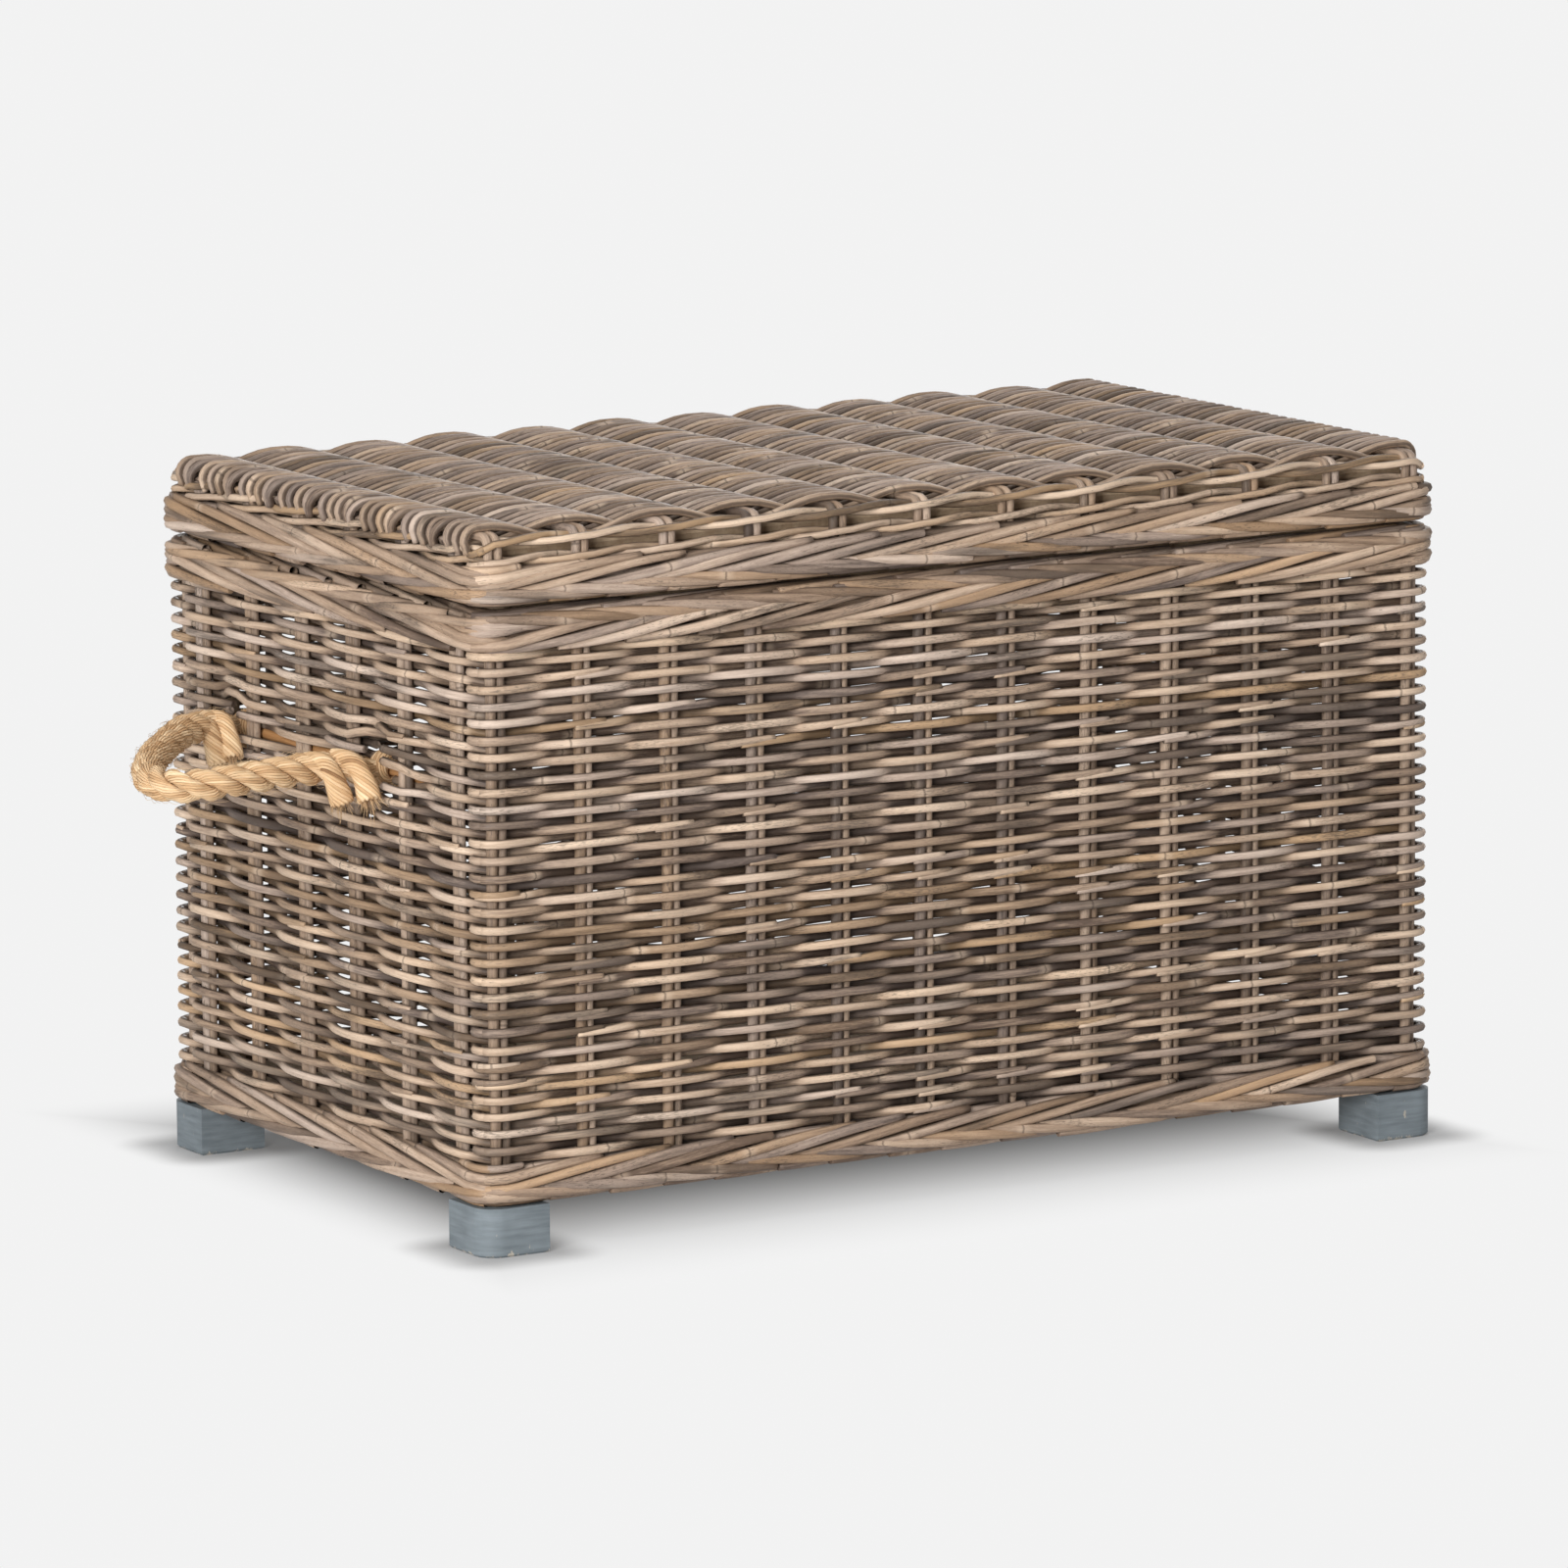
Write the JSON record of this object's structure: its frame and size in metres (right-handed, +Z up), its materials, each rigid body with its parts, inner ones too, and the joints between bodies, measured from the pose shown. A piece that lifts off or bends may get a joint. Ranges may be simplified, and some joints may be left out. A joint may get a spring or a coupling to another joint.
{
  "type": "wicker trunk",
  "caption": "Rectangular woven rattan trunk with plaited borders, a rear-hinged corrugated lid, painted block feet and a rope loop handle at each end.",
  "frame": {"origin": "on the floor under the middle of the trunk", "axes": "+X along the length towards the right end, +Y towards the hinged back, +Z up; the front looks along -Y"},
  "size_m": [1.4192, 0.6, 0.636],
  "materials": {
    "kubu_weave": "grey-brown woven kubu rattan, low sheen",
    "border_weave": "grey-brown plaited kubu rattan, low sheen",
    "stake_cane": "grey-brown cane, low sheen",
    "peeled_cane": "orange-brown peeled cane, soft sheen",
    "frame_pole": "plain rattan pole, matt",
    "board": "plain thin board, matt",
    "foot_paint": "blue-grey washed paint on wood, worn at the edges",
    "manila_rope": "three-strand manila fibre, matt",
    "hardware": "plain zinc-coated steel, satin"
  },
  "bodies": {
    "trunk": {"back_base_rail": "frame_pole", "back_left_foot": "foot_paint", "back_left_post": "frame_pole", "back_right_foot": "foot_paint", "back_right_post": "frame_pole", "back_top_rail": "frame_pole", "back_wall": "kubu_weave", "back_wall_stakes": "stake_cane", "base_border": "border_weave", "bottom_board": "board", "bottom_slat_1": "board", "bottom_slat_2": "board", "bottom_slat_3": "board", "foot_screws": "hardware", "front_base_rail": "frame_pole", "front_left_foot": "foot_paint", "front_left_post": "frame_pole", "front_right_foot": "foot_paint", "front_right_post": "frame_pole", "front_top_rail": "frame_pole", "front_wall": "kubu_weave", "front_wall_stakes": "stake_cane", "hinge_body_leaves": "hardware", "hinge_body_screws": "hardware", "hinge_pins": "hardware", "left_base_rail": "frame_pole", "left_handle_rod": "peeled_cane", "left_top_rail": "frame_pole", "left_wall": "kubu_weave", "left_wall_stakes": "stake_cane", "right_base_rail": "frame_pole", "right_handle_rod": "peeled_cane", "right_top_rail": "frame_pole", "right_wall": "kubu_weave", "right_wall_stakes": "stake_cane", "top_border": "border_weave"},
    "lid": {"back_lid_rail": "frame_pole", "back_lid_rim": "kubu_weave", "back_lid_skirt": "kubu_weave", "front_lid_rail": "frame_pole", "front_lid_rim": "kubu_weave", "front_lid_skirt": "kubu_weave", "hinge_lid_leaves": "hardware", "hinge_lid_screws": "hardware", "left_lid_rail": "frame_pole", "left_lid_skirt": "kubu_weave", "left_lid_skirt_stakes": "stake_cane", "lid_border": "border_weave", "lid_ribs": "stake_cane", "lid_top": "kubu_weave", "right_lid_rail": "frame_pole", "right_lid_skirt": "kubu_weave", "right_lid_skirt_stakes": "stake_cane"},
    "left_handle": {"left_rope": "manila_rope", "left_rope_ends": "manila_rope"},
    "right_handle": {"right_rope": "manila_rope", "right_rope_ends": "manila_rope"}
  },
  "joints": [
    {"name": "lid_hinge", "type": "hinge", "parent": "trunk", "child": "lid", "pos_m": [0, 0.289, 0.563], "axis": [-1, 0, 0], "range_deg": [0, 97]},
    {"name": "left_handle_swing", "type": "hinge", "parent": "trunk", "child": "left_handle", "pos_m": [-0.4717, 0, 0.398], "axis": [0, 1, 0], "range_deg": [-10, 35]},
    {"name": "right_handle_swing", "type": "hinge", "parent": "trunk", "child": "right_handle", "pos_m": [0.4717, 0, 0.398], "axis": [0, -1, 0], "range_deg": [-10, 35]}
  ]
}
